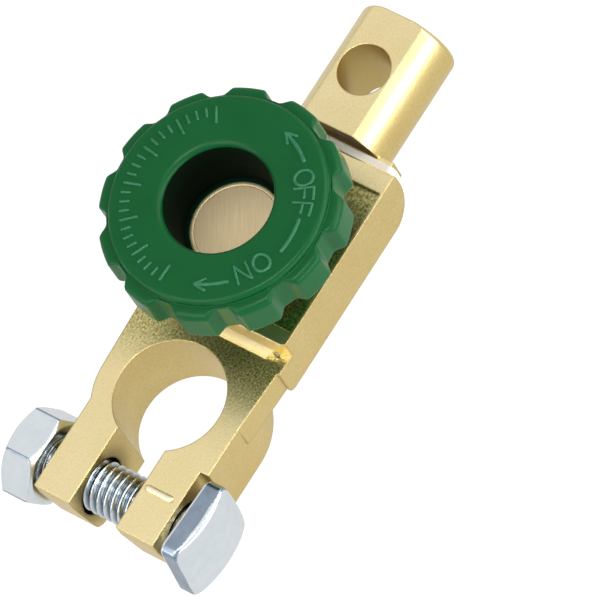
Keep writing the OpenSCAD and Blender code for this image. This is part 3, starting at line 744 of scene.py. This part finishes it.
STEM = ((-0.8, -1.45), (-0.8, 1.45))
F = [STEM, ((-0.8, 1.45), (0.9, 1.45)), ((-0.8, 0.1), (0.75, 0.1))]
N = [((-0.95, -1.4), (-0.95, 1.4)), ((-0.95, 1.4), (0.95, -1.4)), ((0.95, -1.4), (0.95, 1.4))]
off_word = letter_o(-50.7) + letter(-61.3, F) + letter(-71.6, F)
on_word = letter_o(-115.7) + letter(-129.1, N)
bar = [face_stroke((-79.5, 13.1), (-102, 13.5), 0.6, 16)]
scale = [face_stroke((angle, 14.3), (angle, 14.3 - (2.4 if k % 4 == 0 else 1.2)), 0.45)
         for k, angle in enumerate(np.arange(34, 183, 6))]
signs = off_word + on_word + bar + scale + arrow(-39.1, -15.7) + arrow(-139.8, -160.3)
add_piece("knob_signs", joined("knob_signs", *signs), [sign_highlight_green], "switch")

# %% [markdown]
# ## Contact stud
#
# The stud is one turned piece: a head that closes the knob's well, a neck and a flange inside the knob, and a
# threaded shank whose round tip shows under the post's boss. Its section is carried round the axis, and the
# shank's distance from the axis follows the thread formula.

# %% Contact stud
stud_low, stud_high = span("contact_stud")
HEAD_TOP = stud_high[2]
TIP_Z = stud_low[2]
FLANGE_Z = span("contact_washer")[1][2]
PITCH = 1.25
THREAD_DEPTH = 0.6


def shaft(profile, turn, thread_from, thread_to, along_sign=1):
    """Distances from the axis for a section (distance, place along the axis) carried round turn, with a
    right-hand thread cut between two places. The cut fades in and out over half a pitch."""
    distance, along = profile[:, :1], profile[:, 1:]
    fade = np.clip(np.minimum(along - thread_from, thread_to - along) / (PITCH / 2), 0, 1)
    return distance - fade * thread_depth(along_sign * along, turn[None], PITCH, THREAD_DEPTH)


turn = turns(96)
tip_arc = np.linspace(0.02, np.pi / 2, 9)
tip = np.stack([4.0 * np.sin(tip_arc), TIP_Z + 2.2 * (1 - np.cos(tip_arc))], 1)
shank_z = np.arange(TIP_Z + 2.3, FLANGE_Z - 0.2, PITCH / 10)
shank = np.stack([np.full(len(shank_z), 4.0), shank_z], 1)
upper = rounded([(4.0, FLANGE_Z - 0.05, 0), (4.0, FLANGE_Z, 0), (8.1, FLANGE_Z, 0.15),
                 (8.1, FLANGE_Z + 1.6, 0.15), (5.2, FLANGE_Z + 1.6, 0.1), (5.2, HEAD_TOP - 1.6, 0.1),
                 (7.0, HEAD_TOP - 1.6, 0.1), (7.0, HEAD_TOP, 0.3), (6.55, HEAD_TOP, 0), (6.5, HEAD_TOP, 0),
                 (6.47, HEAD_TOP - 0.05, 0), (6.33, HEAD_TOP - 0.05, 0), (6.3, HEAD_TOP, 0),
                 (6.25, HEAD_TOP, 0), (0.05, HEAD_TOP, 0)])
profile = np.concatenate([tip, shank, upper])
distance = shaft(profile, turn, TIP_Z + 2.3, FLANGE_Z - 0.3)
along = np.broadcast_to(profile[:, 1:], distance.shape)
points = np.stack([KNOB_AXIS + distance * np.cos(turn), distance * -np.sin(turn), along], -1)
mesh = joined("stud_turning", surface(points, caps=(True, True)))
add_piece("stud_turning", mesh, [turned_brass, belt_face], "switch", "contact_stud")
heights = np.empty(len(mesh.polygons) * 3)
mesh.polygons.foreach_get("center", heights)
mesh.polygons.foreach_set("material_index", (heights[2::3] / MM > HEAD_TOP - 0.3).astype(np.int32))

# %% [markdown]
# ## Clamp bolt
#
# The bolt has a forged square head with a low domed crown, rounded corners and rounded edges, as it comes from
# the die. Its outline is a square with rounded corners at every height: the crown shrinks it to a point over a
# large ball, the foot shrinks it to the round shank, and the shank carries a rolled M8 thread.

# %% Clamp bolt
bolt_low, bolt_high = span("clamp_bolt")
nut_low, nut_high = span("clamp_nut")
BOLT_X, BOLT_Z = BOLT_AXIS[0], BOLT_AXIS[2]
HEAD_TOTAL = 4.9
CROWN_BALL = 18.86
HEAD_TURN = np.radians(-5)
HEAD_EDGE = 0.9
HEAD_FOOT = 0.5
BOLT_LENGTH = bolt_high[1] - bolt_low[1] - HEAD_TOTAL
HEAD_Y = bolt_low[1] + HEAD_TOTAL

turn = turns(192, sides=4, crowd=0.55)
outline = regular_outline(turn, 4, 13.0, 1.5)
tilt = np.arcsin(outline / CROWN_BALL)
crown_edge = outline - HEAD_EDGE * (1 - np.sin(tilt))


def crown_height(distance):
    """Height of the crown's ball above the foot of the head."""
    return HEAD_TOTAL - CROWN_BALL + np.sqrt(CROWN_BALL ** 2 - distance ** 2)


share = np.linspace(0.03, 1, 16)[:, None]
crown = (share * crown_edge, -crown_height(share * crown_edge))
lean = tilt + (np.pi / 2 - tilt) * np.linspace(0, 1, 7)[1:, None]
edge = (crown_edge + HEAD_EDGE * (np.sin(lean) - np.sin(tilt)),
        -(crown_height(crown_edge) - HEAD_EDGE * (np.cos(tilt) - np.cos(lean))))
wall = (np.broadcast_to(outline, (3, 192)), np.stack([edge[1][-1] + 0.08, edge[1][-1] * 0.5 - 0.3,
                                                     np.full(192, -HEAD_FOOT - 0.08)]))
foot_turn = np.linspace(0, np.pi / 2, 6)[:, None]
foot = (outline - HEAD_FOOT * (1 - np.cos(foot_turn)), -HEAD_FOOT * (1 - np.sin(foot_turn)) + 0 * outline)
shank_along = np.arange(0.9, BOLT_LENGTH - 0.8, PITCH / 10)
shank_line = np.concatenate([rounded([(5.2, 0, 0), (4.0, 0, 0.3), (4.0, 0.9, 0)]),
                             np.stack([np.full(len(shank_along), 4.0), shank_along], 1),
                             [[4.0, BOLT_LENGTH - 0.75], [3.25, BOLT_LENGTH - 0.05], [3.1, BOLT_LENGTH]]])
shank = (shaft(shank_line, turn, 3.0, BOLT_LENGTH - 0.7), np.broadcast_to(shank_line[:, 1:], (len(shank_line), 192)))
distance = np.concatenate([crown[0], edge[0], wall[0], foot[0], shank[0]])
along = np.concatenate([crown[1], edge[1], wall[1], foot[1], shank[1]])
at = turn + HEAD_TURN
points = np.stack([BOLT_X + distance * np.cos(at), HEAD_Y + along, BOLT_Z + distance * np.sin(at)], -1)
mesh = joined("square_head_bolt", surface(points, caps=(True, True)))
centres = np.empty(len(mesh.polygons) * 3)
mesh.polygons.foreach_get("center", centres)
centres = centres.reshape(-1, 3) / MM - (BOLT_X, HEAD_Y, BOLT_Z)
# Painted reflection: the sides of the head get the darker zinc.
dark_reflection_faces = (centres[:, 1] < -HEAD_FOOT) & (centres[:, 1] > -2.9) & (np.hypot(centres[:, 0], centres[:, 2]) > 6)
add_piece("square_head_bolt", mesh, [zinc, dark_reflection_zinc], "bolt", "clamp_bolt")
mesh.polygons.foreach_set("material_index", dark_reflection_faces.astype(np.int32))

# %% [markdown]
# ## Clamp nut
#
# The nut is a hexagon whose two faces are chamfered by a cone of 30 degrees. The cone cuts deeper at the
# corners than at the flats, and leaves the curved edges that make a nut look like one. For each angle the
# section goes from the bore over the face, down the cone to where it meets the hexagon, and back.

# %% Clamp nut
NUT_TURN = np.radians(-7)
FACE_RING = 6.2
NUT_THICK = nut_high[1] - nut_low[1]
turn = turns(240, sides=6, crowd=0.5)
hexagon = regular_outline(turn, 6, 13.0, 0.15)
cone = (hexagon - FACE_RING) * np.tan(np.pi / 6)
ones = np.ones(240)
half_section = [(4.05 * ones, 0.6 * ones), (4.05 * ones, 0.5 * ones), (4.5 * ones, 0.04 * ones), (4.6 * ones, 0 * ones),
                (4.7 * ones, 0 * ones), ((FACE_RING - 0.15) * ones, 0 * ones), (FACE_RING * ones, 0.01 * ones),
                (FACE_RING + (hexagon - FACE_RING) * 0.3, cone * 0.3 + 0.02), (hexagon - 0.12, cone - 0.03),
                (hexagon - 0.04, cone + 0.03), (hexagon, cone + 0.12), (hexagon, cone + 0.3)]
distance = np.array([row[0] for row in half_section])
along = np.array([row[1] for row in half_section])
distance = np.concatenate([distance, distance[::-1]])
along = np.concatenate([along, NUT_THICK - along[::-1]])
at = turn + NUT_TURN + np.pi / 2
points = np.stack([BOLT_X + distance * np.cos(at), nut_low[1] + along, BOLT_Z + distance * np.sin(at)], -1)
mesh = joined("hexagon_nut", surface(points, closed=(True, True)))
centres = np.empty(len(mesh.polygons) * 3)
mesh.polygons.foreach_get("center", centres)
centres = centres.reshape(-1, 3) / MM - (BOLT_X, 0, BOLT_Z)
angle = np.arctan2(centres[:, 2], centres[:, 0]) - NUT_TURN - np.pi / 2
to_corner = np.abs(angle % (np.pi / 3) - np.pi / 6)
# Painted dark lines: the nut's corners get the darker zinc.
on_corner = (to_corner < np.radians(1.3)) & (np.hypot(centres[:, 0], centres[:, 2]) > 7)
add_piece("hexagon_nut", mesh, [zinc, dark_reflection_zinc], "nut", "clamp_nut")
mesh.polygons.foreach_set("material_index", on_corner.astype(np.int32))

# %% [markdown]
# ## Pole sign
#
# The casting carries a raised sign for the battery's pole on the ear at the bolt head. A plain minus bar is
# put there.

# %% Minus bar
EAR_TOP = 12.5
bar = bead(np.stack([np.full(8, -13.4), np.linspace(-9.2, -5.2, 8)], 1), 1.1, 0.3, EAR_TOP)
add_piece("pole_sign", joined("pole_sign", bar), [brass], "housing")
